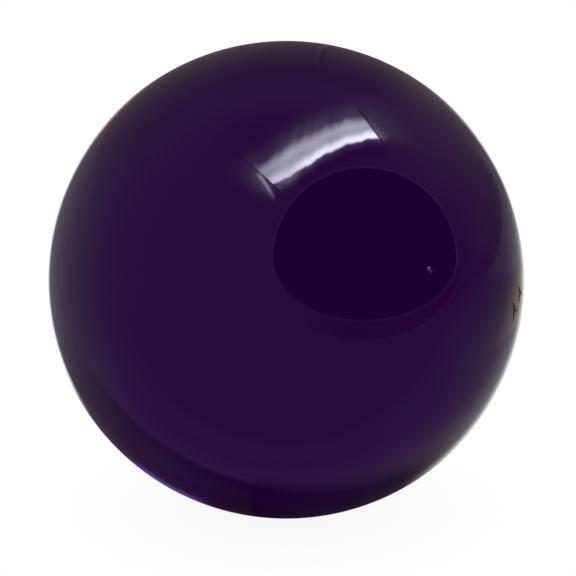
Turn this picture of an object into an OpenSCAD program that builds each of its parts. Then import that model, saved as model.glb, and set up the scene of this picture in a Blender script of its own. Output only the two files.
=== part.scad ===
// Undrilled ten-pin bowling ball, three-piece construction.
// A thick cast cover is poured round a filled core, the core is poured round
// a dense weight block, and a locator pin runs from the block to the surface.
// Origin at the centre of the ball. +Z up, +X along the locator pin, out of
// the ball; the weight block turns about that same axis.

/* [Ball] */
// Outside diameter (rules allow 215.9 to 218.3)
ball_d = 217.6; // [216:0.1:218.3]
// Thickness of the coverstock
cover_t = 19; // [14:0.5:24]

/* [Weight block] */
// Diameter of the bulb
bulb_d = 92; // [84:1:100]
// Distance of the bulb's middle from the ball's centre, towards the pin
bulb_x = 12; // [8:0.5:16]
// Diameter of the neck
neck_d = 50; // [44:1:58]
// Diameter of the foot flange
foot_d = 70; // [64:1:78]
// Distance of the foot's flat end from the ball's centre
foot_x = 63; // [58:1:68]
// Thickness of the foot flange
foot_t = 15; // [12:0.5:18]
// Flat on the bulb's crown, where the pin stands
crown_d = 34; // [24:1:44]

/* [Locator pin] */
// Diameter of the pin
pin_d = 6.35; // [5:0.05:8]
// How deep the pin is seated in the weight block
pin_seat = 12; // [8:1:18]

/* [Centre-of-gravity mark] */
// Distance from the pin to the mark, along the surface
cg_arc = 107.5; // [60:0.1:130]
// Turn of the mark about the pin axis, from the front towards the top
cg_turn = 17.6; // [-60:0.1:50]
// Diameter of the punched dimple at the surface
cg_d = 2.8; // [2:0.1:4]
// Depth of the punched dimple
cg_depth = 0.9; // [0.7:0.05:1.2]
// How far the paint in the dimple lies below the surface
cg_paint_gap = 0.25; // [0.1:0.05:0.35]

/* [Engraved marks] */
// Turn of both rows about the pin axis
row_turn = 59.3; // [0:0.1:90]
// Distance of the row of darts from the pin, along the surface
dart_offset = 21.2; // [14:0.1:24]
// Pitch of the darts along their row
dart_pitch = 10.32; // [8.5:0.02:12]
// Shift of the row of darts along itself, from the pin
dart_shift = -2.48; // [-6:0.02:6]
// Number of places in the row of darts
dart_n = 8; // [3:1:8]
// First place left empty in the row of darts, counted from 0
dart_gap = 2; // [0:1:7]
// Number of places left empty there
dart_gap_n = 2; // [0:1:3]
// Length of a dart
dart_l = 9.5; // [6:0.5:10]
// Width of a dart
dart_w = 7; // [4:0.2:7.4]
// Distance of the row of ticks from the pin, on the other side of it
tick_offset = 13; // [9:0.5:18]
// Pitch of the ticks along their row
tick_pitch = 4.2; // [3:0.1:5]
// Number of ticks
tick_n = 9; // [5:1:11]
// Length of a tick
tick_l = 4.6; // [3:0.2:6]
// Width of a tick
tick_w = 1.2; // [0.8:0.1:1.6]
// Depth of the engraving
mark_depth = 0.6; // [0.45:0.05:0.9]
// How far the paint in the engraving lies below the surface
paint_gap = 0.3; // [0.15:0.05:0.3]

/* [Hidden] */
$fn = 128;
ball_r = ball_d / 2;
core_r = ball_r - cover_t;
bulb_r = bulb_d / 2;
neck_r = neck_d / 2;
foot_r = foot_d / 2;
crown_r = crown_d / 2;
pin_r = pin_d / 2;
// height of the crown's flat above the ball's centre
crown_x = bulb_x + sqrt(bulb_r * bulb_r - crown_r * crown_r);
// degrees of arc for one millimetre along the surface
deg_mm = 180 / (PI * ball_r);
// radius of the round-nosed punch that leaves a dimple of cg_d by cg_depth
punch_r = (cg_d * cg_d / 4 + cg_depth * cg_depth) / (2 * cg_depth);
edge_r = 5;

// A ball whose seam and poles stay clear of every mark
module ball(r) {
    rotate([0, 0, 120]) sphere(r = r);
}

// Puts something modelled at +X at an arc distance from the pin: along the
// row first, then away from the pin, then round the pin axis
module on_surface(along, away, turn) {
    rotate([-turn, 0, 0])
        rotate([0, 0, -away * deg_mm])
            rotate([0, -along * deg_mm, 0])
                children();
}

// Outline of one lane dart, pointing away from the pin
module dart_outline() {
    polygon([[-dart_l / 2, 0], [dart_l / 2, -dart_w / 2],
             [dart_l * 0.14, 0], [dart_l / 2, dart_w / 2]]);
}

// Outline of one tick, a short bar across its row
module tick_outline() {
    square([tick_l, tick_w], center = true);
}

// An outline at +X raised to height h from the flat floor of its engraving
module from_floor(h) {
    translate([ball_r - mark_depth, 0, 0])
        rotate([90, 0, 90])
            linear_extrude(height = h) children();
}

module darts(h) {
    for (i = [0 : dart_n - 1])
        if (i < dart_gap || i >= dart_gap + dart_gap_n)
            on_surface((i - (dart_n - 1) / 2) * dart_pitch + dart_shift, dart_offset, row_turn)
                from_floor(h) dart_outline();
}

module ticks(h) {
    for (i = [0 : tick_n - 1])
        on_surface((i - (tick_n - 1) / 2) * tick_pitch, -tick_offset, row_turn)
            from_floor(h) tick_outline();
}

// The round nose of the punch, standing in its own dimple
module punch_nose() {
    translate([ball_r - cg_depth + punch_r, 0, 0]) sphere(r = punch_r);
}

// The pin's round bar from its seat in the block out past the surface
module pin_bar() {
    translate([crown_x - pin_seat, 0, 0])
        rotate([0, 90, 0]) cylinder(r = pin_r, h = ball_r - crown_x + pin_seat + 2);
}

// Half outline of the weight block: x is the radius, y runs along the pin
module block_outline() {
    intersection() {
        union() {
            // bulb
            translate([0, bulb_x]) circle(r = bulb_r);
            // neck
            translate([0, -foot_x + foot_t / 2]) square([neck_r, foot_x - foot_t / 2 + bulb_x]);
            // foot flange with a rounded edge
            translate([0, -foot_x]) square([foot_r - edge_r, foot_t]);
            translate([0, -foot_x + edge_r]) square([foot_r, foot_t - 2 * edge_r]);
            translate([foot_r - edge_r, -foot_x + edge_r]) circle(r = edge_r);
            translate([foot_r - edge_r, -foot_x + foot_t - edge_r]) circle(r = edge_r);
        }
        // one side of the axis, cut flat at the crown
        translate([0, -foot_x]) square([bulb_r + 1, foot_x + crown_x]);
    }
}

module block_body() {
    rotate([0, 90, 0]) rotate_extrude() block_outline();
}

// Cast polyester shell, with the pin's bore, the punch mark and the engraving
module coverstock() {
    color("#2b0a44")
    difference() {
        ball(ball_r);
        ball(core_r);
        pin_bar();
        on_surface(0, cg_arc, cg_turn) punch_nose();
        darts(mark_depth + 1);
        ticks(mark_depth + 1);
    }
}

// Filler sphere round the weight block
module outer_core() {
    color("#8f8a80")
    difference() {
        ball(core_r);
        block_body();
        pin_bar();
    }
}

// Dense inner block: bulb, neck and foot, with a blind seat for the pin
module weight_block() {
    color("#b4442c")
    difference() {
        block_body();
        pin_bar();
    }
}

// Locator pin, its outer end finished flush with the ball
module locator_pin() {
    color("#e8dfc6")
    intersection() {
        pin_bar();
        ball(ball_r);
    }
}

// Paint in the punched dimple
module cg_mark_paint() {
    color("#bfacb8")
    on_surface(0, cg_arc, cg_turn) intersection() {
        punch_nose();
        translate([ball_r - cg_depth - 1, -cg_d, -cg_d])
            cube([cg_depth + 1 - cg_paint_gap, 2 * cg_d, 2 * cg_d]);
    }
}

// Paint in the darts
module dart_paint() {
    color("#4d443c")
    darts(mark_depth - paint_gap);
}

// Paint in the ticks
module tick_paint() {
    color("#4d443c")
    ticks(mark_depth - paint_gap);
}

coverstock();
outer_core();
weight_block();
locator_pin();
cg_mark_paint();
dart_paint();
tick_paint();
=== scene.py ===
import math

import bpy
from mathutils import Matrix, Vector
from mathutils.geometry import delaunay_2d_cdt
from mathutils.noise import noise


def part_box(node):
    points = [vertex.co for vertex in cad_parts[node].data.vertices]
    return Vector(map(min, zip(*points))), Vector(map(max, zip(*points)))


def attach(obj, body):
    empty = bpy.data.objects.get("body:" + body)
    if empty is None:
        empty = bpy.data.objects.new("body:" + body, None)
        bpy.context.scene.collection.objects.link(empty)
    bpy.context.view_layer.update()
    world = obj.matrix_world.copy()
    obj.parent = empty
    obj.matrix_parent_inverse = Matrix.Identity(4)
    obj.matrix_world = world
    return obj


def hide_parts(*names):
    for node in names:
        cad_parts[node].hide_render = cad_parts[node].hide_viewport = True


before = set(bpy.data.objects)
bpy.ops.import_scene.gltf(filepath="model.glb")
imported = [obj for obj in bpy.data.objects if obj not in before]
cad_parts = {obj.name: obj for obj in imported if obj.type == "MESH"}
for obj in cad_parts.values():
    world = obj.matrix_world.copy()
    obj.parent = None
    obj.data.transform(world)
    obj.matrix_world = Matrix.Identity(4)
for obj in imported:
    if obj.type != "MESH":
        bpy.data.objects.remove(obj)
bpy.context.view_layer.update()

# ---------------------------------------------------------------- sizes (mm)
ball_lo, ball_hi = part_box("coverstock")
R = (ball_hi[2] - ball_lo[2]) * 500.0  # ball radius
core_lo, core_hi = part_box("outer_core")
CORE_R = (core_hi[2] - core_lo[2]) * 500.0
blk_lo, blk_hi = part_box("weight_block")
CROWN_X, FOOT_X = blk_hi[0] * 1000.0, -blk_lo[0] * 1000.0
BULB_R = (blk_hi[2] - blk_lo[2]) * 500.0
pin_lo, pin_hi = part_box("locator_pin")
PIN_R = (pin_hi[2] - pin_lo[2]) * 500.0
PIN_X0 = pin_lo[0] * 1000.0
CROWN_R = 17.0
BULB_X = CROWN_X - math.sqrt(BULB_R**2 - CROWN_R**2)
NECK_R, FOOT_R, FOOT_T, EDGE_R = 25.0, 35.0, 15.0, 5.0

ROW_TURN = 59.3
DARTS = [((i - 3.5) * 10.32 - 2.48, 21.2, ROW_TURN) for i in (0, 1, 4, 5, 6, 7)]
TICKS = [((i - 4.0) * 4.2, -13.0, ROW_TURN) for i in range(9)]
DART_OUTLINE = [(-4.75, 0.0), (4.75, -3.5), (1.33, 0.0), (4.75, 3.5)]
TICK_OUTLINE = [(-2.3, -0.6), (2.3, -0.6), (2.3, 0.6), (-2.3, 0.6)]
FLOOR_X = R - 0.6  # flat floor of the engraving
PAINT_X = FLOOR_X + 0.3  # level of its paint
CG = (0.0, 107.5, 17.6)
CG_RIM, CG_DEPTH = 1.4, 0.9
PUNCH_R = (CG_RIM**2 + CG_DEPTH**2) / (2.0 * CG_DEPTH)
PUNCH_X = R - CG_DEPTH + PUNCH_R
MM = 0.001


def on_surface(along, away, turn):
    """Rotation that takes something at +X to its place on the ball."""
    deg = 1.0 / R
    return (
        Matrix.Rotation(-math.radians(turn), 3, "X")
        @ Matrix.Rotation(-away * deg, 3, "Z")
        @ Matrix.Rotation(-along * deg, 3, "Y")
    )


# ------------------------------------------------------------ flat outlines
def round_corners(points, radius, step):
    """A closed outline with every corner rounded and its sides divided."""
    n = len(points)
    out = []
    for i in range(n):
        a, b, c = Vector(points[i - 1]), Vector(points[i]), Vector(points[(i + 1) % n])
        d1, d2 = (a - b).normalized(), (c - b).normalized()
        half = 0.5 * d1.angle(d2)
        back = radius / math.tan(half)
        p1, p2 = b + d1 * back, b + d2 * back
        centre = b + (d1 + d2).normalized() * (radius / math.sin(half))
        a1 = math.atan2(p1.y - centre.y, p1.x - centre.x)
        a2 = math.atan2(p2.y - centre.y, p2.x - centre.x)
        sweep = (a2 - a1 + math.pi) % (2 * math.pi) - math.pi
        k = max(3, int(abs(sweep) / 0.45))
        arc = [
            centre + radius * Vector((math.cos(a1 + sweep * j / k), math.sin(a1 + sweep * j / k)))
            for j in range(k + 1)
        ]
        if out:
            gap = arc[0] - out[-1]
            m = max(1, int(round(gap.length / step)))
            out += [out[-1] + gap * (j / m) for j in range(1, m)]
        out += arc
    gap = out[0] - out[-1]
    m = max(1, int(round(gap.length / step)))
    out += [out[-1] + gap * (j / m) for j in range(1, m)]
    return out


def grow(outline, by):
    """The outline moved outwards by a distance, point for point."""
    n = len(outline)
    area = sum(outline[i - 1].cross(outline[i]) for i in range(n))
    sign = 1.0 if area > 0 else -1.0
    out = []
    for i in range(n):
        t1 = (outline[i] - outline[i - 1]).normalized()
        t2 = (outline[(i + 1) % n] - outline[i]).normalized()
        n1, n2 = Vector((t1.y, -t1.x)), Vector((t2.y, -t2.x))
        m = (n1 + n2).normalized()
        out.append(outline[i] + m * (sign * by / max(0.5, m.dot(n1))))
    return out


def inside(p, loops):
    """Even-odd test of a point against closed loops given as edges."""
    x, y = p
    hit = False
    for (ax, ay), (bx, by) in loops:
        if (ay > y) != (by > y) and x < ax + (y - ay) * (bx - ax) / (by - ay):
            hit = not hit
    return hit


def edges_of(loop):
    return [(tuple(loop[i - 1]), tuple(loop[i])) for i in range(len(loop))]


def fill(outline, spacing):
    """Triangles over a flat outline with points spread inside it."""
    edges = edges_of(outline)
    xs, ys = [p[0] for p in outline], [p[1] for p in outline]
    pts = [Vector(p) for p in outline]
    n = len(pts)
    row, y = 0, min(ys) + spacing
    while y < max(ys):
        x = min(xs) + (0.5 * spacing if row % 2 else 0.0)
        while x < max(xs):
            q = Vector((x, y))
            if inside(q, edges) and min((q - p).length for p in pts[:n]) > 0.55 * spacing:
                pts.append(q)
            x += spacing
        y += spacing * 0.866
        row += 1
    verts, _, faces, orig, _, _ = delaunay_2d_cdt(
        pts, [(i, (i + 1) % n) for i in range(n)], [], 0, 1e-7, True
    )
    back = [o[0] if o else None for o in orig]
    tris = []
    for f in faces:
        c = sum((verts[i] for i in f), Vector((0, 0))) / len(f)
        if inside(c, edges) and all(back[i] is not None for i in f):
            tris.append(tuple(back[i] for i in f))
    return pts, tris


# ------------------------------------------------------------- mesh building
class Shell:
    """Collects a closed mesh in millimetres, with exact normals where known."""

    def __init__(self):
        self.v, self.f, self.known = [], [], {}

    def vert(self, p, normal=None):
        self.v.append(Vector(p))
        if normal is not None:
            self.known[len(self.v) - 1] = Vector(normal)
        return len(self.v) - 1

    def ring(self, pts, normals=None):
        return [self.vert(p, normals[i] if normals else None) for i, p in enumerate(pts)]

    def face(self, idx, outward):
        """A face turned so that it looks along outward."""
        a, b, c = self.v[idx[0]], self.v[idx[1]], self.v[idx[2]]
        if (b - a).cross(c - a).dot(outward) < 0:
            idx = tuple(reversed(idx))
        self.f.append(tuple(idx))

    def bridge(self, r1, r2, flip=False):
        """A band of quads between two rings with the same count."""
        n = len(r1)
        for i in range(n):
            j = (i + 1) % n
            q = (r1[i], r1[j], r2[j], r2[i])
            self.f.append(tuple(reversed(q)) if flip else q)

    def make(self, name, crease=45.0):
        mesh = bpy.data.meshes.new(name)
        mesh.from_pydata([p * MM for p in self.v], [], self.f)
        mesh.validate(clean_customdata=False)
        for p in mesh.polygons:
            p.use_smooth = True
        limit = math.cos(math.radians(crease))
        around = {}
        for p in mesh.polygons:
            for i in p.vertices:
                if i not in self.known:
                    around.setdefault(i, []).append((p.normal.copy(), p.area))
        normals = [None] * len(mesh.loops)
        for p in mesh.polygons:
            for li, vi in zip(p.loop_indices, p.vertices):
                if vi in self.known:
                    normals[li] = self.known[vi]
                else:
                    s = Vector((0, 0, 0))
                    for m, a in around[vi]:
                        if m.dot(p.normal) > limit:
                            s += m * a
                    normals[li] = s.normalized() if s.length > 0 else p.normal.copy()
        mesh.normals_split_custom_set(normals)
        obj = bpy.data.objects.new(name, mesh)
        bpy.context.scene.collection.objects.link(obj)
        return obj


def cube_sphere(shell, radius, n, features, out=True):
    """A sphere of even quads. features are (rotation, flat outline, ring of
    vertex indices): the quads near each are refilled to meet that ring."""
    sign = 1.0 if out else -1.0
    tan = [math.tan((i / n - 0.5) * math.pi / 2) for i in range(n + 1)]
    axes = [
        ((1, 0, 0), (0, 1, 0), (0, 0, 1)),
        ((-1, 0, 0), (0, -1, 0), (0, 0, 1)),
        ((0, 1, 0), (-1, 0, 0), (0, 0, 1)),
        ((0, -1, 0), (1, 0, 0), (0, 0, 1)),
        ((0, 0, 1), (0, 1, 0), (-1, 0, 0)),
        ((0, 0, -1), (0, 1, 0), (1, 0, 0)),
    ]
    index, place, quads = {}, [], []
    for w, u, v in axes:
        w, u, v = Vector(w), Vector(u), Vector(v)
        grid = []
        for j in range(n + 1):
            row = []
            for i in range(n + 1):
                p = (w + u * tan[i] + v * tan[j]).normalized()
                key = (round(p.x, 6), round(p.y, 6), round(p.z, 6))
                if key not in index:
                    index[key] = len(place)
                    place.append(p)
                row.append(index[key])
            grid.append(row)
        for j in range(n):
            for i in range(n):
                quads.append((grid[j][i], grid[j][i + 1], grid[j + 1][i + 1], grid[j + 1][i]))
    cell = radius * math.pi / 2 / n
    pad = 0.72 * cell + 0.1
    marked = set()
    for rot, outline, _ in features:
        inv = rot.transposed()
        centre = rot @ Vector((1, 0, 0))
        reach = max(p.length for p in outline) + pad + cell
        near = math.cos(min(1.2, reach * 1.2 / radius))
        edges = edges_of(outline)
        for k, p in enumerate(place):
            if p.dot(centre) < near or k in marked:
                continue
            q = inv @ p
            q = Vector((q.y, q.z)) * radius
            if inside(q, edges) or min((q - o).length for o in outline) < pad:
                marked.add(k)
    keep, cut = [], []
    for q in quads:
        (cut if any(i in marked for i in q) else keep).append(q)
    # the removed quads fall into patches that are refilled one by one
    parent = {}

    def find(a):
        while parent.setdefault(a, a) != a:
            parent[a] = parent[parent[a]]
            a = parent[a]
        return a

    for q in cut:
        for i in q[1:]:
            parent[find(q[0])] = find(i)
    patches = {}
    for q in cut:
        patches.setdefault(find(q[0]), []).append(q)
    real = {}

    def vid(k):
        if k not in real:
            real[k] = shell.vert(place[k] * radius, place[k] * sign)
        return real[k]

    for q in keep:
        q = tuple(vid(i) for i in q)
        shell.f.append(q if out else tuple(reversed(q)))
    for patch in patches.values():
        count = {}
        for q in patch:
            for a, b in zip(q, q[1:] + q[:1]):
                count[frozenset((a, b))] = count.get(frozenset((a, b)), 0) + 1
        rim = [tuple(e) for e, c in count.items() if c == 1]
        mid = sum((place[i] for e in rim for i in e), Vector((0, 0, 0))).normalized()
        ux = mid.orthogonal().normalized()
        uy = mid.cross(ux)

        def flat(p):
            return Vector((p.dot(ux), p.dot(uy)))

        pts, ids, order = [], [], {}
        for e in rim:
            for i in e:
                if i not in order:
                    order[i] = len(pts)
                    pts.append(flat(place[i] * radius))
                    ids.append(vid(i))
        cons = [(order[a], order[b]) for a, b in rim]
        border = [(tuple(pts[a]), tuple(pts[b])) for a, b in cons]
        holes = []
        for rot, outline, ring in features:
            c = rot @ Vector((1, 0, 0))
            if c.dot(mid) < 0 or not inside(flat(c * radius), border):
                continue
            start = len(pts)
            for i in ring:
                pts.append(flat(shell.v[i]))
                ids.append(i)
            m = len(ring)
            cons += [(start + i, start + (i + 1) % m) for i in range(m)]
            holes.append(edges_of(pts[start : start + m]))
        verts, _, faces, orig, _, _ = delaunay_2d_cdt(pts, cons, [], 0, 1e-7, True)
        back = [ids[o[0]] if o else None for o in orig]
        for f in faces:
            c = sum((verts[i] for i in f), Vector((0, 0))) / len(f)
            if not inside(c, border) or any(inside(c, h) for h in holes):
                continue
            idx = tuple(back[i] for i in f)
            if None in idx:
                raise RuntimeError("a refilled patch crosses itself")
            shell.face(idx, mid * sign)


def lathe(shell, profile, segments, first=None, last=None):
    """A surface turned about X through (x, r) points, outside on the left of
    the path. A radius of 0 closes it at the axis; first and last are rings
    that it joins instead of making its own."""
    rings = []
    for x, r in profile:
        if r == 0.0:
            rings.append([shell.vert((x, 0, 0))])
        else:
            rings.append(
                shell.ring(
                    [
                        (x, r * math.cos(2 * math.pi * k / segments), r * math.sin(2 * math.pi * k / segments))
                        for k in range(segments)
                    ]
                )
            )
    if first:
        rings.insert(0, first)
    if last:
        rings.append(last)
    for a, b in zip(rings, rings[1:]):
        for k in range(segments):
            j = (k + 1) % segments
            if len(a) == 1:
                shell.f.append((a[0], b[k], b[j]))
            elif len(b) == 1:
                shell.f.append((a[k], b[0], a[j]))
            else:
                shell.f.append((a[k], b[k], b[j], a[j]))
    return rings


# -------------------------------------------------------------------- pieces
def circle(radius, n):
    return [Vector((radius * math.cos(2 * math.pi * k / n), radius * math.sin(2 * math.pi * k / n))) for k in range(n)]


def set_in(rot, outline, level, on_ball=False):
    """3-D points of a flat outline: level is either a depth below the ball's
    own surface or a distance along the mark's axis."""
    pts = []
    for p in outline:
        x = math.sqrt(R * R - p.x * p.x - p.y * p.y) - level if on_ball else level
        pts.append(rot @ Vector((x, p.x, p.y)))
    return pts


LIP = [(0.18, 0.0), (0.105, 0.014), (0.048, 0.048), (0.012, 0.105), (0.0, 0.19)]


def engrave(shell, rot, outline):
    """Rounded lip, wall and flat floor of one engraved mark."""
    rings = []
    for by, depth in LIP:
        pts = set_in(rot, grow(outline, by), depth, True)
        rings.append(shell.ring(pts, [p.normalized() for p in pts] if depth == 0.0 else None))
    for by, x in ((0.0, FLOOR_X + 0.09), (-0.022, FLOOR_X + 0.028), (-0.08, FLOOR_X)):
        rings.append(shell.ring(set_in(rot, grow(outline, by), x)))
    for a, b in zip(rings, rings[1:]):
        shell.bridge(a, b)
    pts, tris = fill(grow(outline, -0.08), 1.1)
    n = len(outline)
    ids = rings[-1] + [shell.vert(rot @ Vector((FLOOR_X, p.x, p.y))) for p in pts[n:]]
    for t in tris:
        shell.face(tuple(ids[i] for i in t), rot @ Vector((1, 0, 0)))
    return (rot, grow(outline, LIP[0][0]), rings[0])


def bowl_x(r):
    return PUNCH_X - math.sqrt(PUNCH_R**2 - r * r)


def punch(shell, rot, n=48):
    """The round dimple that marks the ball's heavy side."""
    first = circle(CG_RIM + 0.17, n)
    pts = set_in(rot, first, 0.0, True)
    rings = [shell.ring(pts, [p.normalized() for p in pts])]
    for r, depth in ((CG_RIM + 0.09, 0.012), (CG_RIM + 0.03, 0.036), (CG_RIM - 0.015, 0.066)):
        rings.append(shell.ring(set_in(rot, circle(r, n), depth, True)))
    for r in (1.34, 1.26, 1.15, 1.0, 0.82, 0.62, 0.42, 0.22):
        rings.append(shell.ring(set_in(rot, circle(r, n), bowl_x(r))))
    for a, b in zip(rings, rings[1:]):
        shell.bridge(a, b)
    tip = shell.vert(rot @ Vector((bowl_x(0.0), 0, 0)))
    for k in range(n):
        shell.f.append((rings[-1][k], rings[-1][(k + 1) % n], tip))
    return (rot, first, rings[0])


dart_shape = round_corners(DART_OUTLINE, 0.2, 0.5)
tick_shape = round_corners(TICK_OUTLINE, 0.25, 0.5)
here = Matrix.Identity(3)


def make_coverstock():
    s = Shell()
    outer = [engrave(s, on_surface(*d), dart_shape) for d in DARTS]
    outer += [engrave(s, on_surface(*t), tick_shape) for t in TICKS]
    outer.append(punch(s, on_surface(*CG)))
    # the pin's bore, broken at its outer edge
    n = 64
    pts = set_in(here, circle(PIN_R + 0.14, n), 0.0, True)
    rings = [s.ring(pts, [p.normalized() for p in pts])]
    outer.append((here, circle(PIN_R + 0.14, n), rings[0]))
    for by, depth in ((0.08, 0.014), (0.03, 0.045), (0.0, 0.11)):
        rings.append(s.ring(set_in(here, circle(PIN_R + by, n), depth, True)))
    x_in = math.sqrt(CORE_R**2 - PIN_R**2)
    for x in (R - 1.2, R - 6.0, 0.5 * (R + x_in), x_in + 4.0, x_in):
        rings.append(s.ring(set_in(here, circle(PIN_R, n), x)))
    for a, b in zip(rings, rings[1:]):
        s.bridge(a, b)
    cube_sphere(s, R, 104, outer)
    cube_sphere(s, CORE_R, 54, [(here, circle(PIN_R, n), rings[-1])], out=False)
    return s.make("coverstock_shell")


def block_profile(less=0.0):
    """Half outline of the weight block from its crown to its foot."""
    b, q1, q2, q3 = BULB_R - less, 1.5, 4.0, 3.0
    crown, foot = CROWN_X - less, -FOOT_X + less
    neck, flange, face = NECK_R - less, FOOT_R - less, -FOOT_X + FOOT_T - less

    def arc(cx, cr, r, a0, a1, k):
        return [
            (cx + r * math.cos(math.radians(a0 + (a1 - a0) * i / k)), cr + r * math.sin(math.radians(a0 + (a1 - a0) * i / k)))
            for i in range(k + 1)
        ]

    cx = crown - q1
    cr = math.sqrt((b - q1) ** 2 - (cx - BULB_X) ** 2)
    a0 = math.degrees(math.atan2(cr, cx - BULB_X))
    fx = BULB_X - math.sqrt((b + q2) ** 2 - (neck + q2) ** 2)
    a1 = math.degrees(math.atan2(neck + q2, fx - BULB_X))
    path = [(crown, 5.0), (crown, 9.0), (crown, 13.0)]
    path += arc(cx, cr, q1, 0.0, a0, 4)
    path += arc(BULB_X, 0.0, b, a0, a1, 44)[1:]
    path += arc(fx, neck + q2, q2, a1 - 180.0, -90.0, 6)[1:]
    path += arc(face + q3, neck + q3, q3, -90.0, -180.0, 6)
    e = EDGE_R
    path += arc(face - e, flange - e, e, 0.0, 90.0, 8)
    path += arc(foot + e, flange - e, e, 90.0, 180.0, 8)
    path += [(foot, 22.0), (foot, 14.0), (foot, 6.0)]
    return path


def make_outer_core():
    s = Shell()
    n = 96
    radius = CORE_R - 0.01
    ring = s.ring(set_in(here, circle(PIN_R, n), math.sqrt(radius**2 - PIN_R**2)))
    path = [(-FOOT_X, 0.0)] + list(reversed(block_profile()))
    path += [(CROWN_X, PIN_R), (CROWN_X + 8.0, PIN_R), (CROWN_X + 20.0, PIN_R)]
    lathe(s, path, n, last=ring)
    cube_sphere(s, radius, 54, [(here, circle(PIN_R, n), ring)])
    return s.make("outer_core_casting")


def make_weight_block():
    s = Shell()
    path = [(PIN_X0, 0.0), (PIN_X0, 1.6), (PIN_X0, PIN_R - 0.3), (PIN_X0 + 0.3, PIN_R)]
    path += [(PIN_X0 + 6.0, PIN_R), (CROWN_X - 0.4, PIN_R), (CROWN_X - 0.01, PIN_R + 0.4)]
    path += block_profile(0.01) + [(-FOOT_X + 0.01, 0.0)]
    lathe(s, path, 128)
    return s.make("weight_block_casting")


def make_pin():
    s = Shell()
    r0, top = PIN_R - 0.02, R - 0.012
    cap = []
    for r in (0.0, 0.35, 0.8, 1.3, 1.8, 2.3, 2.7, r0 - 0.13):
        cap.append((math.sqrt(top * top - r * r), r))
    edge = math.sqrt(top * top - r0 * r0)
    path = cap + [(edge - 0.012, r0 - 0.06), (edge - 0.05, r0 - 0.015), (edge - 0.13, r0)]
    path += [(edge - 4.0, r0), (R - 19.0, r0), (75.0, r0), (CROWN_X, r0), (PIN_X0 + 0.5, r0)]
    path += [(PIN_X0 + 0.03, r0 - 0.45), (PIN_X0 + 0.03, 1.4), (PIN_X0 + 0.03, 0.0)]
    rings = lathe(s, path, 64)
    for ring in rings[: len(cap)]:
        for i in ring:
            s.known[i] = s.v[i].normalized()
    return s.make("locator_pin_bar")


def edge_distance(p, outline):
    best = 1e9
    for i in range(len(outline)):
        a, b = outline[i - 1], outline[i]
        t = max(0.0, min(1.0, (p - a).dot(b - a) / max(1e-12, (b - a).length_squared)))
        best = min(best, (p - (a + (b - a) * t)).length)
    return best


def pour(shell, rot, outline, bottom, top, spacing, climb, seed):
    """Paint lying in a recess: it climbs the wall a little and dries unevenly.
    bottom and top give the level at a flat point."""
    edge = grow(outline, -0.004)
    pts, tris = fill(edge, spacing)
    n = len(edge)
    out = rot @ Vector((1, 0, 0))
    hi, lo = [], []
    for p in pts:
        d = edge_distance(p, edge)
        h = top(p) + climb * math.exp(-d / 0.2)
        h += 0.016 * noise(Vector((p.x * 0.9, p.y * 0.9, seed * 7.3)))
        h += 0.006 * noise(Vector((p.x * 3.1, p.y * 3.1, seed * 3.7)))
        hi.append(shell.vert(rot @ Vector((h, p.x, p.y))))
        lo.append(shell.vert(rot @ Vector((bottom(p) + 0.004, p.x, p.y))))
    for t in tris:
        shell.face(tuple(hi[i] for i in t), out)
        shell.face(tuple(lo[i] for i in t), -out)
    for i in range(n):
        j = (i + 1) % n
        shell.f.append((lo[i], lo[j], hi[j], hi[i]))


def make_paint(name, places, shape):
    s = Shell()
    for k, place in enumerate(places):
        pour(s, on_surface(*place), shape, lambda p: FLOOR_X, lambda p: PAINT_X, 0.42, 0.07, k + 1)
    return s.make(name)


def make_cg_paint():
    """A bead of pearl lacquer standing in the dimple."""
    s = Shell()
    foot = 1.08
    base = bowl_x(foot)
    rise = R - 0.03 - base
    bead = (foot * foot + rise * rise) / (2.0 * rise)
    rot = on_surface(*CG)
    n = 40
    rings = [[s.vert(rot @ Vector((base + rise, 0, 0)))]]
    for r in (0.12, 0.25, 0.38, 0.5, 0.62, 0.73, 0.83, 0.92, 0.99, 1.04, foot):
        ring = []
        for k in range(n):
            t = 2 * math.pi * k / n
            a, c = r * math.cos(t), r * math.sin(t)
            h = base + rise - bead + math.sqrt(bead * bead - r * r)
            if r < foot:
                h += 0.005 * noise(Vector((a * 1.4, c * 1.4, 4.0))) * (1.0 - r / foot)
            ring.append(s.vert(rot @ Vector((h, a, c))))
        rings.append(ring)
    for r in (0.9, 0.6, 0.3):
        rings.append(s.ring(set_in(rot, circle(r, n), bowl_x(r) + 0.004)))
    rings.append([s.vert(rot @ Vector((bowl_x(0.0) + 0.004, 0, 0)))])
    for a, b in zip(rings, rings[1:]):
        for k in range(n):
            j = (k + 1) % n
            if len(a) == 1:
                s.f.append((a[0], b[k], b[j]))
            elif len(b) == 1:
                s.f.append((a[k], b[0], a[j]))
            else:
                s.f.append((a[k], b[k], b[j], a[j]))
    return s.make("cg_mark_bead")


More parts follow.
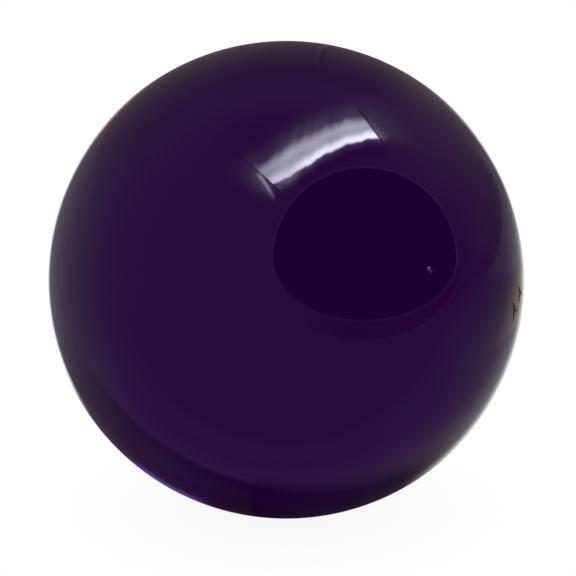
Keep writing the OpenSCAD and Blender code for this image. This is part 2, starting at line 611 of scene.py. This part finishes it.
# ----------------------------------------------------------------- materials
class Nodes:
    """Short hand for building a node tree. Two plain numbers are worked out
    here instead of in a node."""

    def __init__(self, tree):
        self.tree = tree

    def new(self, kind, **props):
        n = self.tree.nodes.new(kind)
        for k, v in props.items():
            setattr(n, k, v)
        return n

    def put(self, socket, value):
        if isinstance(value, bpy.types.NodeSocket):
            self.tree.links.new(value, socket)
        else:
            socket.default_value = value

    def math(self, op, a, b=None, c=None):
        n = self.new("ShaderNodeMath", operation=op)
        for i, v in enumerate((a, b, c)):
            if v is not None:
                self.put(n.inputs[i], v)
        return n.outputs[0]

    def both(self, op, f, a, b):
        if isinstance(a, (int, float)) and isinstance(b, (int, float)):
            return f(a, b)
        return self.math(op, a, b)

    def add(self, a, b):
        return self.both("ADD", lambda p, q: p + q, a, b)

    def sub(self, a, b):
        return self.both("SUBTRACT", lambda p, q: p - q, a, b)

    def mul(self, a, b):
        return self.both("MULTIPLY", lambda p, q: p * q, a, b)

    def div(self, a, b):
        return self.both("DIVIDE", lambda p, q: p / q, a, b)

    def min(self, a, b):
        return self.both("MINIMUM", min, a, b)

    def max(self, a, b):
        return self.both("MAXIMUM", max, a, b)

    def abs(self, a):
        return self.math("ABSOLUTE", a)

    def sqrt(self, a):
        return self.math("SQRT", a)

    def sin(self, a):
        return self.math("SINE", a)

    def atan2(self, a, b):
        return self.math("ARCTAN2", a, b)

    def hypot(self, a, b):
        return self.sqrt(self.math("MULTIPLY_ADD", a, a, self.mul(b, b)))

    def smooth(self, lo, hi, x):
        n = self.new("ShaderNodeMapRange", interpolation_type="SMOOTHSTEP")
        for key, v in (("Value", x), ("From Min", lo), ("From Max", hi)):
            self.put(n.inputs[key], v)
        return n.outputs["Result"]

    def mix(self, a, b, t):
        if isinstance(a, (int, float)) and isinstance(b, (int, float)):
            return self.math("MULTIPLY_ADD", t, b - a, a)
        return self.math("MULTIPLY_ADD", t, self.sub(b, a), a)

    def vec(self, op, a, b=None, out=0):
        n = self.new("ShaderNodeVectorMath", operation=op)
        self.put(n.inputs[0], a)
        if b is not None:
            if op == "SCALE":
                self.put(n.inputs["Scale"], b)
            else:
                self.put(n.inputs[1], b)
        return n.outputs[out]

    def noise(self, where, scale, detail=3.0, rough=0.5, warp=0.0, w=None):
        n = self.new("ShaderNodeTexNoise")
        if w is not None:
            n.noise_dimensions = "4D"
            n.inputs["W"].default_value = w
        self.put(n.inputs["Vector"], where)
        n.inputs["Scale"].default_value = scale
        n.inputs["Detail"].default_value = detail
        n.inputs["Roughness"].default_value = rough
        n.inputs["Distortion"].default_value = warp
        return n.outputs[0]

    def ramp(self, value, *stops):
        n = self.new("ShaderNodeValToRGB")
        self.put(n.inputs[0], value)
        e = n.color_ramp.elements
        while len(e) < len(stops):
            e.new(0.5)
        for el, (pos, col) in zip(e, stops):
            el.position = pos
            el.color = (*col, 1.0) if len(col) == 3 else col
        return n.outputs[0]

    def blend(self, t, a, b):
        n = self.new("ShaderNodeMix", data_type="RGBA")
        self.put(n.inputs[0], t)
        for sock, v in ((n.inputs[6], a), (n.inputs[7], b)):
            self.put(sock, (*v, 1.0) if isinstance(v, tuple) else v)
        return n.outputs[2]

    def where(self):
        return self.new("ShaderNodeTexCoord").outputs["Object"]


def material(name):
    m = bpy.data.materials.new(name)
    m.use_nodes = True
    b = Nodes(m.node_tree)
    m.node_tree.nodes.clear()
    shader = b.new("ShaderNodeBsdfPrincipled")
    out = b.new("ShaderNodeOutputMaterial")
    m.node_tree.links.new(shader.outputs[0], out.inputs["Surface"])
    return m, b, shader.inputs


def cover_material():
    """Cast polyester polished to a mirror: nearly even colour, faint cloudy
    variation, wipe marks and hairlines in the gloss, a few specks of dust."""
    m, b, s = material("deep_purple_polyester")
    p = b.where()
    cloud = b.noise(p, 9.0, 4.0, 0.55, 0.6)
    fine = b.noise(p, 46.0, 3.0, 0.5, 0.0, 2.0)
    tone = b.add(b.mul(cloud, 0.75), b.mul(fine, 0.25))
    colour = b.ramp(
        tone,
        (0.36, (0.0372, 0.0008, 0.0985)),
        (0.5, (0.0400, 0.0010, 0.1050)),
        (0.64, (0.0428, 0.0012, 0.1112)),
    )
    cells = b.new("ShaderNodeTexVoronoi", voronoi_dimensions="3D", feature="F1")
    b.put(cells.inputs["Vector"], p)
    cells.inputs["Scale"].default_value = 26.0
    size = b.mul(b.noise(p, 31.0, 0.0, 0.5, 0.0, 5.0), 0.034)
    speck = b.smooth(size, b.mul(size, 0.55), cells.outputs["Distance"])
    speck = b.mul(speck, b.smooth(0.52, 0.60, b.noise(p, 14.0, 0.0, 0.5, 0.0, 9.0)))
    colour = b.blend(b.mul(speck, 0.75), colour, (0.30, 0.22, 0.30))
    b.put(s["Base Color"], colour)
    wipe = b.noise(b.vec("MULTIPLY", p, (1.0, 2.6, 1.0)), 22.0, 5.0, 0.62, 1.2, 1.0)
    hair = b.noise(b.vec("MULTIPLY", p, (60.0, 9.0, 4.0)), 12.0, 2.0, 0.5, 0.3, 3.0)
    rough = b.add(0.034, b.mul(b.smooth(0.42, 0.75, wipe), 0.022))
    rough = b.add(rough, b.mul(b.smooth(0.66, 0.72, hair), 0.012))
    rough = b.add(rough, b.mul(speck, 0.35))
    b.put(s["Roughness"], rough)
    s["IOR"].default_value = 1.56
    return m


def paint_material(name, dark, mid, light, rough0, rough1, metal=0.0, grain=0.25):
    """Lacquer filling a recess: pigment settles unevenly."""
    m, b, s = material(name)
    p = b.where()
    big = b.noise(p, 420.0, 3.0, 0.55, 0.4)
    small = b.noise(p, 2600.0, 3.0, 0.6, 0.0, 4.0)
    tone = b.add(b.mul(big, 0.6), b.mul(small, 0.4))
    b.put(s["Base Color"], b.ramp(tone, (0.34, dark), (0.5, mid), (0.66, light)))
    b.put(s["Roughness"], b.mix(rough0, rough1, b.smooth(0.35, 0.65, small)))
    s["IOR"].default_value = 1.5
    s["Metallic"].default_value = metal
    bump = b.new("ShaderNodeBump")
    bump.inputs["Strength"].default_value = grain
    bump.inputs["Distance"].default_value = 0.00003
    b.put(bump.inputs["Height"], small)
    b.put(s["Normal"], bump.outputs[0])
    return m


def pin_material():
    """Pearl polyester rod, ground flush and polished with the ball."""
    m, b, s = material("pearl_ivory_polyester")
    p = b.where()
    swirl = b.noise(b.vec("MULTIPLY", p, (0.35, 1.0, 1.0)), 330.0, 4.0, 0.6, 2.2)
    fleck = b.noise(p, 2200.0, 2.0, 0.5, 0.0, 3.0)
    colour = b.ramp(swirl, (0.3, (0.60, 0.50, 0.34)), (0.5, (0.74, 0.65, 0.48)), (0.7, (0.84, 0.78, 0.64)))
    colour = b.blend(b.mul(b.smooth(0.62, 0.72, fleck), 0.35), colour, (0.92, 0.88, 0.80))
    b.put(s["Base Color"], colour)
    b.put(s["Roughness"], b.add(0.07, b.mul(b.smooth(0.4, 0.7, swirl), 0.05)))
    s["IOR"].default_value = 1.56
    s["Coat Weight"].default_value = 0.4
    s["Coat Roughness"].default_value = 0.03
    return m


def casting_material(name, base, dark, grit, size, rough):
    """Filled resin as it leaves the mould: mineral grit, pores with painted shade in them, and flow."""
    m, b, s = material(name)
    p = b.where()
    flow = b.noise(p, 28.0, 5.0, 0.6, 1.5)
    cells = b.new("ShaderNodeTexVoronoi", voronoi_dimensions="3D", feature="F1")
    b.put(cells.inputs["Vector"], p)
    cells.inputs["Scale"].default_value = size
    grain = b.smooth(0.42, 0.18, cells.outputs["Distance"])
    pore_dent_and_shade = b.smooth(0.64, 0.70, b.noise(p, size * 0.8, 2.0, 0.5, 0.0, 6.0))
    colour = b.blend(b.smooth(0.35, 0.65, flow), dark, base)
    colour = b.blend(b.mul(grain, 0.35), colour, grit)
    # each pore is dented by the bump below and also painted near-black: painted shade in the pit
    colour = b.blend(b.mul(pore_dent_and_shade, 0.6), colour, tuple(c * 0.35 for c in dark))
    b.put(s["Base Color"], colour)
    b.put(s["Roughness"], b.add(rough, b.mul(b.noise(p, size * 0.5, 3.0, 0.5, 0.0, 8.0), 0.2)))
    height = b.sub(b.mul(grain, 0.5), pore_dent_and_shade)
    bump = b.new("ShaderNodeBump")
    bump.inputs["Strength"].default_value = 0.6
    bump.inputs["Distance"].default_value = 0.0003
    b.put(bump.inputs["Height"], height)
    b.put(s["Normal"], bump.outputs[0])
    s["IOR"].default_value = 1.5
    return m


bronze = paint_material(
    "dark_bronze_lacquer", (0.050, 0.038, 0.030), (0.075, 0.058, 0.045), (0.11, 0.088, 0.066), 0.45, 0.62
)
pearl = paint_material(
    "pale_pink_pearl_lacquer", (0.47, 0.35, 0.41), (0.54, 0.40, 0.47), (0.61, 0.46, 0.53), 0.34, 0.39, 1.0, 0.04
)

parts = [
    (make_coverstock(), "coverstock", "coverstock", cover_material()),
    (
        make_outer_core(), "outer_core", "core_filler",
        casting_material("grey_filled_resin", (0.36, 0.34, 0.30), (0.28, 0.26, 0.225), (0.55, 0.53, 0.48), 700.0, 0.55),
    ),
    (
        make_weight_block(), "weight_block", "weight_block",
        casting_material("red_brown_heavy_resin", (0.45, 0.085, 0.035), (0.34, 0.055, 0.024), (0.62, 0.28, 0.18), 900.0, 0.42),
    ),
    (make_pin(), "locator_pin", "locator_pin", pin_material()),
    (make_cg_paint(), "cg_mark_paint", "cg_paint", pearl),
    (make_paint("dart_inlays", DARTS, dart_shape), "dart_paint", "mark_paint", bronze),
    (make_paint("tick_inlays", TICKS, tick_shape), "tick_paint", "mark_paint", bronze),
]
for obj, node, slot, mat in parts:
    obj.data.materials.append(mat)
    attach(obj, "root")
    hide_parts(node)

# -------------------------------------------------------------------- camera
LENS, SENSOR, AWAY = 135.0, 36.0, 0.98930
ASIDE, ABOVE = 0.000779, -0.003724
FOCAL = 576.0 * LENS / SENSOR
tilt = math.radians(15.0)
toward = Vector((0.0, -math.cos(tilt), math.sin(tilt)))
right = Vector((1.0, 0.0, 0.0))
up = Vector((0.0, math.sin(tilt), math.cos(tilt)))
eye = toward * AWAY + right * ASIDE + up * ABOVE
cam_data = bpy.data.cameras.new("camera")
cam_data.lens = LENS
cam_data.sensor_width = SENSOR
cam_data.clip_start = 0.05
cam_data.clip_end = 50.0
cam = bpy.data.objects.new("camera", cam_data)
cam.matrix_world = Matrix.Translation(eye) @ Matrix(
    ((right.x, up.x, toward.x), (right.y, up.y, toward.y), (right.z, up.z, toward.z))
).to_4x4()
bpy.context.scene.collection.objects.link(cam)
bpy.context.scene.camera = cam

# --------------------------------------------------------------------- floor
# a pale sheet under the ball, with a soft edge to white well outside it
FLOOR_Z = ball_lo[2] - 0.00005
fv, ff = [(0.0, 0.0, FLOOR_Z)], []
steps, turns = [0.05 * 1.22**k for k in range(27)], 96
for r in steps:
    for k in range(turns):
        a = 2 * math.pi * k / turns
        fv.append((r * math.cos(a), r * math.sin(a), FLOOR_Z))
for k in range(turns):
    ff.append((0, 1 + k, 1 + (k + 1) % turns))
for i in range(len(steps) - 1):
    a, b2 = 1 + i * turns, 1 + (i + 1) * turns
    for k in range(turns):
        j = (k + 1) % turns
        ff.append((a + k, b2 + k, b2 + j, a + j))
fm = bpy.data.meshes.new("floor")
fm.from_pydata(fv, [], ff)
floor = bpy.data.objects.new("floor", fm)
bpy.context.scene.collection.objects.link(floor)
fmat = bpy.data.materials.new("pale_floor")
fmat.use_nodes = True
b = Nodes(fmat.node_tree)
fmat.node_tree.nodes.clear()
dist = b.vec("LENGTH", b.where(), out=1)
white = b.new("ShaderNodeEmission")
white.inputs["Color"].default_value = (1, 1, 1, 1)
b.put(white.inputs["Strength"], b.mix(0.92, 1.0, b.smooth(0.112, 0.165, dist)))
dull = b.new("ShaderNodeBsdfDiffuse")
b.put(dull.inputs["Color"], b.blend(b.smooth(0.112, 0.165, dist), (0.32, 0.32, 0.32), (0.0, 0.0, 0.0)))
both = b.new("ShaderNodeAddShader")
fmat.node_tree.links.new(white.outputs[0], both.inputs[0])
fmat.node_tree.links.new(dull.outputs[0], both.inputs[1])
out = b.new("ShaderNodeOutputMaterial")
fmat.node_tree.links.new(both.outputs[0], out.inputs["Surface"])
fm.materials.append(fmat)
floor.visible_glossy = False
floor.visible_diffuse = False
floor.visible_transmission = False
floor.visible_shadow = False

# --------------------------------------------------------------- light tent
# the light tent as a function of where it shows on the ball; B does the arithmetic
def v_left(B, u, v):
    """How far towards the upper left, 1 at the rim."""
    return B.add(B.mul(u, -0.80), B.mul(v, -0.60))


def tent(B, x, y):
    """x, y: place on the ball as the main view sees it, in 576ths of the frame. Returns radiance r, g, b and the pure violet correction."""
    add, sub, mul, div, mn, mx = B.add, B.sub, B.mul, B.div, B.min, B.max
    S, mix = B.smooth, B.mix
    u = div(sub(x, 285.8), 239.0)
    v = div(sub(y, 279.37), 239.0)
    rho = mn(B.sqrt(add(mul(u, u), mul(v, v))), 1.0)

    # even white fabric, dimmer towards the roof
    roofside = mul(S(0.76, 0.90, rho), S(-0.10, -0.75, v))
    L = sub(0.212, mul(mul(roofside, mix(1.0, 0.70, S(0.30, 0.62, u))), 0.098))
    L = add(L, mul(mul(S(0.72, 0.90, rho), S(0.55, 0.85, v_left(B, u, v))), 0.020))
    L = add(L, mul(mul(S(0.05, -0.35, u), S(0.35, 0.0, v)), mul(S(0.85, 0.70, rho), 0.014)))
    L = sub(L, mul(mul(mul(S(0.50, 0.84, u), S(0.30, -0.05, v)), S(-0.60, -0.28, v)), 0.070))
    L = add(L, mul(mul(S(-0.80, -0.99, u), S(0.35, 0.05, B.abs(sub(v, 0.06)))), 0.032))

    far = B.hypot(sub(x, 415.0), sub(y, 108.0))
    L = add(L, mul(S(60.0, 8.0, far), 0.024))
    near = B.hypot(sub(x, 250.0), sub(y, 146.0))
    L = sub(L, mul(S(48.0, 12.0, near), 0.018))

    # roof seam and the dimmer strip of roof under it
    seam = sub(B.hypot(sub(x, 445.0), sub(y, 760.0)), 706.0)
    inner = sub(B.hypot(sub(x, 334.0), sub(y, 362.0)), 266.0)
    strip = mul(S(3.0, -6.0, seam), S(-8.0, 10.0, inner))
    strip = mul(strip, S(345.0, 300.0, x))
    L = sub(L, mul(strip, 0.008))
    # left corner pole
    lf = sub(B.hypot(sub(x, 243.0), sub(y, 196.6)), 153.0)
    L = add(L, mul(mul(S(-1.5, 1.5, lf), mul(S(260.0, 190.0, y), S(150.0, 110.0, x))), 0.022))
    # right corner pole
    rf = sub(B.hypot(sub(x, 402.7), sub(y, 219.5)), 99.2)
    rwin = mul(mul(S(455.0, 485.0, x), S(286.0, 262.0, y)), S(132.0, 168.0, y))
    L = add(L, mul(mul(S(-1.8, 1.8, rf), rwin), 0.030))
    L = add(L, mul(mul(S(0.0, 18.0, rf), rwin), 0.036))
    L = sub(L, mul(mul(S(-22.0, -3.0, rf), mul(S(1.4, -1.4, rf), rwin)), 0.034))
    # small fold at the top limb
    tf = sub(B.hypot(sub(x, 331.5), sub(y, 58.5)), 13.0)
    twin = mul(S(330.0, 324.0, x), S(70.0, 62.0, y))
    L = add(L, mul(mul(S(5.0, 0.5, tf), mul(S(-0.8, 0.8, tf), twin)), 0.030))
    L = sub(L, mul(mul(S(-9.0, -0.5, tf), mul(S(0.8, -0.8, tf), twin)), 0.035))

    # table edge: a dark crescent along the bottom
    cr = sub(B.hypot(sub(x, 307.5), sub(y, 233.5)), 256.0)
    k = mul(S(-16.0, 7.0, cr), S(0.16, 0.50, v))
    k = mix(k, mul(S(-4.5, 2.0, cr), S(0.16, 0.50, v)), S(0.0, -0.30, u))
    Ld = add(add(0.021, mul(S(0.965, 0.895, rho), 0.018)), mul(S(-0.10, -0.62, u), 0.037))
    Ld = add(Ld, mul(S(0.22, 0.52, u), 0.018))
    Ld = add(Ld, mul(S(-0.58, -0.86, u), 0.050))
    L = add(L, mul(mul(S(0.30, 0.60, u), S(0.40, 0.65, v)), 0.022))
    # the table's corner shows as a faint upright step
    step = mul(S(249.5, 253.5, x), S(330.0, 262.0, x))
    Ld = sub(add(Ld, mul(S(253.5, 249.5, x), 0.004)), mul(step, 0.007))
    L = mix(L, Ld, k)
    # bright backdrop behind, low on the right
    ang = B.atan2(v, u)
    we = mul(S(-0.46, -0.04, ang), S(1.08, 0.70, ang))
    L = add(L, mul(mul(S(0.90, 0.985, rho), we), 0.12))
    L = add(L, mul(mul(S(0.945, 0.980, rho), we), 0.085))
    e = S(0.968, 1.0, rho)
    L = add(L, mul(mul(mul(e, e), we), 1.05))
    wr = mul(S(-0.95, -0.50, ang), S(0.0, -0.34, ang))
    L = add(L, mul(mul(S(0.987, 0.999, rho), wr), 1.25))
    # and a paler edge on the left
    wl = add(S(2.50, 2.80, ang), S(-2.10, -2.75, ang))
    L = add(L, mul(mul(S(0.9875, 0.999, rho), wl), 1.35))

    rim = S(0.80, 0.965, rho)
    ends = mx(S(-0.45, -0.85, v), S(0.55, 0.90, v))
    r = mul(L, mix(1.0, 1.04, mul(rim, ends)))
    g = mul(L, mix(1.0, 0.97, mul(rim, ends)))
    b = mul(L, mix(mix(1.38, 1.70, S(0.1, 0.6, v)), mix(1.0, 0.78, ends), rim))
    warm = mul(mul(S(0.25, 0.60, u), S(0.15, -0.20, v)), S(0.95, 0.85, rho))
    r = add(r, mul(warm, 0.020))
    b = sub(b, mul(warm, 0.022))

    # blue glow behind, low on the left
    wb = mul(mul(S(1.88, 2.02, ang), S(2.36, 2.16, ang)), S(0.978, 0.994, rho))
    r = add(r, mul(wb, 0.10)); g = add(g, mul(wb, 0.07)); b = add(b, mul(wb, 0.34))
    low = mul(k, mul(S(1.78, 2.0, ang), S(2.42, 2.15, ang)))
    b = add(b, mul(low, 0.035))

    # warm board behind, right
    l1 = add(mul(sub(x, 497.0), -0.768), mul(sub(y, 346.0), -0.640))   # above the lower edge
    l2 = add(mul(sub(x, 497.0), 0.958), mul(sub(y, 346.0), 0.286))      # right of the left edge
    ww = mul(mul(S(-2.0, 2.0, l1), S(-5.0, 5.0, l2)), mul(S(266.0, 276.0, y), S(352.0, 342.0, y)))
    wide = mul(mul(S(-2.0, 2.0, l1), S(-17.0, -3.0, l2)), mul(S(272.0, 290.0, y), S(354.0, 342.0, y)))
    r = add(r, mul(wide, 0.048)); g = add(g, mul(wide, 0.032))
    r = add(r, mul(ww, 0.100)); g = add(g, mul(ww, 0.072)); b = sub(b, mul(ww, 0.022))

    yel = mul(mul(S(271.0, 274.0, y), S(286.0, 281.0, y)), S(515.5, 518.5, x))
    r = add(r, mul(yel, 0.035)); g = add(g, mul(yel, 0.040)); b = sub(b, mul(yel, 0.055))

    # round dark opening, flatter below, with a pale bound rim
    hx = div(sub(x, 364.0), 91.5)
    dy = sub(y, 258.0)
    hy = add(div(mn(dy, 0.0), 90.5), div(mx(dy, 0.0), 61.5))
    q = B.hypot(hx, hy)
    hy2 = add(div(mn(dy, 0.0), 96.0), div(mx(dy, 0.0), 82.0))
    q2 = B.hypot(div(sub(x, 364.0), 97.5), hy2)
    # the opening's lower sleeve
    sl = mul(mul(S(1.012, 0.995, q2), S(262.0, 300.0, y)), S(290.0, 350.0, x))
    sl = mul(sl, 0.040)
    r = sub(r, sl); g = sub(g, sl); b = sub(b, sl)
    line2 = mul(mul(mul(S(0.985, 1.0, q2), S(1.022, 1.004, q2)), S(262.0, 300.0, y)), mul(S(350.0, 400.0, x), 0.045))
    r = add(r, line2); g = add(g, line2); b = add(b, mul(line2, 1.2))
    hole = S(1.006, 0.988, q)
    rim = mul(S(0.992, 1.006, q), S(1.030, 1.012, q))
    rim = mul(rim, mix(0.080, 0.028, mul(S(262.0, 300.0, y), S(400.0, 330.0, x))))
    r = add(r, rim); g = add(g, rim); b = add(b, mul(rim, 1.3))
    r = mix(r, 0.008, hole); g = mix(g, 0.0, hole); b = mix(b, 0.012, hole)

    # long softbox through the roof: a curved bright band with a crisp lower edge
    xx = sub(x, 330.0)
    rip = add(mul(B.sin(add(mul(xx, 0.27), 0.4)), 0.75), mul(B.sin(add(mul(xx, 0.61), 1.3)), 0.42))
    rip = mul(add(rip, mul(B.sin(mul(xx, 1.07)), 0.10)), 0.85)
    bend = mx(xx, -25.0)
    ylow = add(add(151.9, mul(bend, -0.50)), mul(mul(bend, bend), 0.00456))
    ylow = add(sub(ylow, mul(sub(xx, bend), 0.56)), rip)
    slope = add(-0.50, mul(bend, 0.00912))
    c = div(1.0, B.sqrt(add(1.0, mul(slope, slope))))
    t = mul(sub(ylow, y), c)
    s_l = add(mul(sub(x, 257.9), 0.675), mul(sub(y, 170.7), -0.738))
    s_r = add(mul(sub(x, 361.4), -0.8128), mul(sub(y, 113.6), 0.5825))
    ends = mul(S(-0.4, 1.4, s_l), S(-0.4, 1.4, s_r))
    # streaks in the fabric, fanning up from the edge
    st = add(B.sin(add(mul(x, 0.83), mul(y, 0.20))), B.sin(add(mul(x, 0.41), mul(y, 0.06))))
    st = add(st, mul(B.sin(add(mul(x, 1.71), mul(y, 0.31))), 0.8))
    st = mul(st, add(1.0, B.sin(add(mul(x, 0.131), 1.0))))
    st = add(1.0, mul(mul(st, 0.042), S(8.0, 26.0, t)))
    corew = S(290.0, 309.0, x)
    core = mul(S(-0.7, 2.3, t), S(10.4, 3.2, t))
    core = mul(core, mix(4.3, 9.6, corew))
    top = mix(26.8, 28.6, S(330.0, 304.0, x))
    top = sub(top, mul(S(290.0, 274.0, x), 2.6))
    top = sub(top, mul(S(359.0, 373.0, x), 5.0))
    wav = add(B.sin(add(mul(xx, 0.115), 0.6)), mul(B.sin(add(mul(xx, 0.33), 2.2)), 0.6))
    top = add(top, mul(wav, 0.55))
    body = mul(mul(S(-0.7, 2.4, t), S(top, sub(top, 12.0), t)), 5.9)
    skirt = mul(S(304.0, 294.0, x), S(-13.0, 1.0, t))
    body = add(body, mul(mul(mul(skirt, skirt), S(5.0, 0.0, t)), 1.3))
    lobe = mul(S(8.0, 11.5, t), S(18.5, 13.5, t))
    body = mul(body, sub(1.0, mul(lobe, add(0.14, mul(B.sin(add(mul(xx, 0.19), 1.0)), 0.07)))))
    halo = S(52.0, 20.0, t)
    amp = mix(mix(0.42, 0.98, S(266.0, 292.0, x)), 0.60, S(312.0, 334.0, x))
    halo = mul(mul(halo, halo), mul(S(-9.0, 6.0, t), amp))
    # creases in the fabric fan up out of it
    w = add(sub(x, 300.0), mul(sub(y, 150.0), 0.30))
    slow = B.sin(add(mul(w, 0.173), 2.0))
    fan = add(B.sin(add(mul(w, 0.93), mul(slow, 2.4))), B.sin(add(mul(w, 1.61), mul(B.sin(mul(w, 0.29)), 1.9))))
    fan = mul(add(fan, mul(B.sin(add(mul(w, 0.47), 0.5)), 0.9)), add(0.75, mul(B.sin(add(mul(w, 0.107), 1.2)), 0.55)))
    halo = mul(halo, add(1.0, mul(mul(fan, S(17.0, 30.0, t)), 0.14)))
    bandL = add(mul(add(core, body), st), halo)
    bandL = mul(bandL, ends)
    # glow past the two end seams
    gl = mul(mul(S(-34.0, -1.5, s_l), S(1.0, -1.0, s_l)), mul(S(-16.0, 4.0, t), S(52.0, 14.0, t)))
    gr = mul(mul(S(-44.0, -1.5, s_r), S(1.0, -1.0, s_r)), mul(S(-14.0, 6.0, t), S(60.0, 14.0, t)))
    glow = add(mul(mul(gl, gl), 0.40), mul(mul(gr, gr), 0.30))
    sk = add(mul(sub(x, 265.0), 0.8365), mul(sub(y, 182.9), -0.548))
    sa = add(mul(sub(x, 259.2), 0.548), mul(sub(y, 174.0), 0.8365))
    sk = add(sk, mul(mul(sub(sa, 11.0), sub(sa, 11.0)), 0.0035))
    nl = mul(mul(S(-22.0, -1.0, s_l), S(0.6, -0.8, s_l)), mul(S(-26.0, -2.0, t), S(30.0, 8.0, t)))
    nr = mul(mul(S(-13.0, -0.5, s_r), S(0.8, -0.6, s_r)), mul(S(-7.0, 5.0, t), S(34.0, 0.0, t)))
    nl = mul(nl, S(3.4, -0.8, sk))
    glow = add(glow, add(mul(mul(nl, nl), 0.62), mul(mul(nr, nr), 1.25)))
    streak = mul(mul(S(-3.4, -0.6, sk), S(2.3, 0.8, sk)), mul(S(-5.0, 2.0, sa), S(31.0, 13.0, sa)))
    glow = add(glow, mul(streak, 3.0))
    band = add(bandL, glow)
    # dark seams at both ends
    sd = add(mul(S(-1.8, -0.6, s_l), S(0.8, -0.2, s_l)), mul(S(-1.8, -0.6, s_r), S(0.8, -0.2, s_r)))
    sd = mul(sd, mul(S(-6.0, -1.0, t), mix(S(25.0, 14.0, t), S(34.0, 24.0, t), S(310.0, 330.0, x))))
    r = add(r, band); g = add(g, band); b = add(b, mul(band, 1.20))
    # the fabric's stitched edge running on from the band's lower corner
    hem = add(mul(sub(x, 272.0), -0.111), mul(sub(y, 183.4), 0.994))
    hem = mul(mul(S(-1.1, -0.2, hem), S(1.1, 0.2, hem)), mul(S(270.0, 273.0, x), S(300.0, 284.0, x)))
    sdk = sub(1.0, mul(mx(sd, mul(hem, 0.9)), 0.60))
    r = mul(r, sdk); g = mul(g, sdk); b = mul(b, sdk)
    # shade just under the band's lower edge
    und = mul(mul(S(-26.0, -2.0, t), S(0.5, -1.5, t)), ends)
    und = mul(und, mul(S(296.0, 308.0, x), 0.030))
    r = mx(sub(r, und), 0.0); g = mx(sub(g, und), 0.0); b = mx(sub(b, und), 0.0)

    # violet this deep lies outside the screen's colours: the green share that is missing
    gg = mix(0.145, 0.022, S(0.64, 0.98, rho))
    gg = add(gg, mul(mul(S(0.30, 0.60, v), S(0.72, 0.80, rho)), mul(S(0.96, 0.88, rho), 0.055)))
    gg = mul(gg, sub(1.0, mul(k, mix(0.66, 0.65, S(0.90, 0.96, rho)))))
    low2 = mul(S(1.60, 2.05, ang), S(2.85, 2.45, ang))
    gg = add(gg, mul(k, mul(mul(low2, S(0.905, 0.965, rho)), 0.024)))
    return r, g, b, gg

world = bpy.data.worlds.new("light_tent")
bpy.context.scene.world = world
world.use_nodes = True
world.cycles.sampling_method = "NONE"
b = Nodes(world.node_tree)
world.node_tree.nodes.clear()
ray = b.new("ShaderNodeTexCoord").outputs["Generated"]
# where this direction shows on the ball, as seen from the front
ball_r = R * MM
n = b.vec("NORMALIZE", b.vec("ADD", ray, toward))
for _ in range(3):
    v = b.vec("NORMALIZE", b.vec("SUBTRACT", eye, b.vec("SCALE", n, ball_r)))
    n = b.vec("NORMALIZE", b.vec("ADD", ray, v))
spot = b.vec("SCALE", n, ball_r)
depth = b.sub(AWAY, b.vec("DOT_PRODUCT", spot, toward, 1))
x = b.math("MULTIPLY_ADD", b.div(b.sub(b.vec("DOT_PRODUCT", spot, right, 1), ASIDE), depth), FOCAL, 287.5)
y = b.math("MULTIPLY_ADD", b.div(b.sub(b.vec("DOT_PRODUCT", spot, up, 1), ABOVE), depth), -FOCAL, 287.5)
tr, tg, tb, missing = tent(b, x, y)
tg = b.max(b.sub(tg, missing), 0.0)
# straight behind the ball every place on its rim meets, so it fades out there
behind = b.smooth(0.980, 0.996, b.mul(b.vec("DOT_PRODUCT", ray, toward, 1), -1.0))
comb = b.new("ShaderNodeCombineColor")
for i, c in enumerate((tr, tg, tb)):
    b.put(comb.inputs[i], b.mix(c, 0.75, behind))
path = b.new("ShaderNodeLightPath")
sep = b.new("ShaderNodeSeparateXYZ")
b.put(sep.inputs[0], ray)
even = b.mix(0.28, 0.19, b.smooth(-0.25, -0.85, sep.outputs[2]))
soft = b.new("ShaderNodeCombineColor")
for i in range(3):
    b.put(soft.inputs[i], even)
lit = b.blend(path.outputs["Is Diffuse Ray"], comb.outputs[0], soft.outputs[0])
lit = b.blend(path.outputs["Is Camera Ray"], lit, (1.0, 1.0, 1.0))
back = b.new("ShaderNodeBackground")
b.put(back.inputs["Color"], lit)
out = b.new("ShaderNodeOutputWorld")
world.node_tree.links.new(back.outputs[0], out.inputs["Surface"])

scene = bpy.context.scene
scene.view_settings.view_transform = "Standard"
scene.view_settings.look = "None"
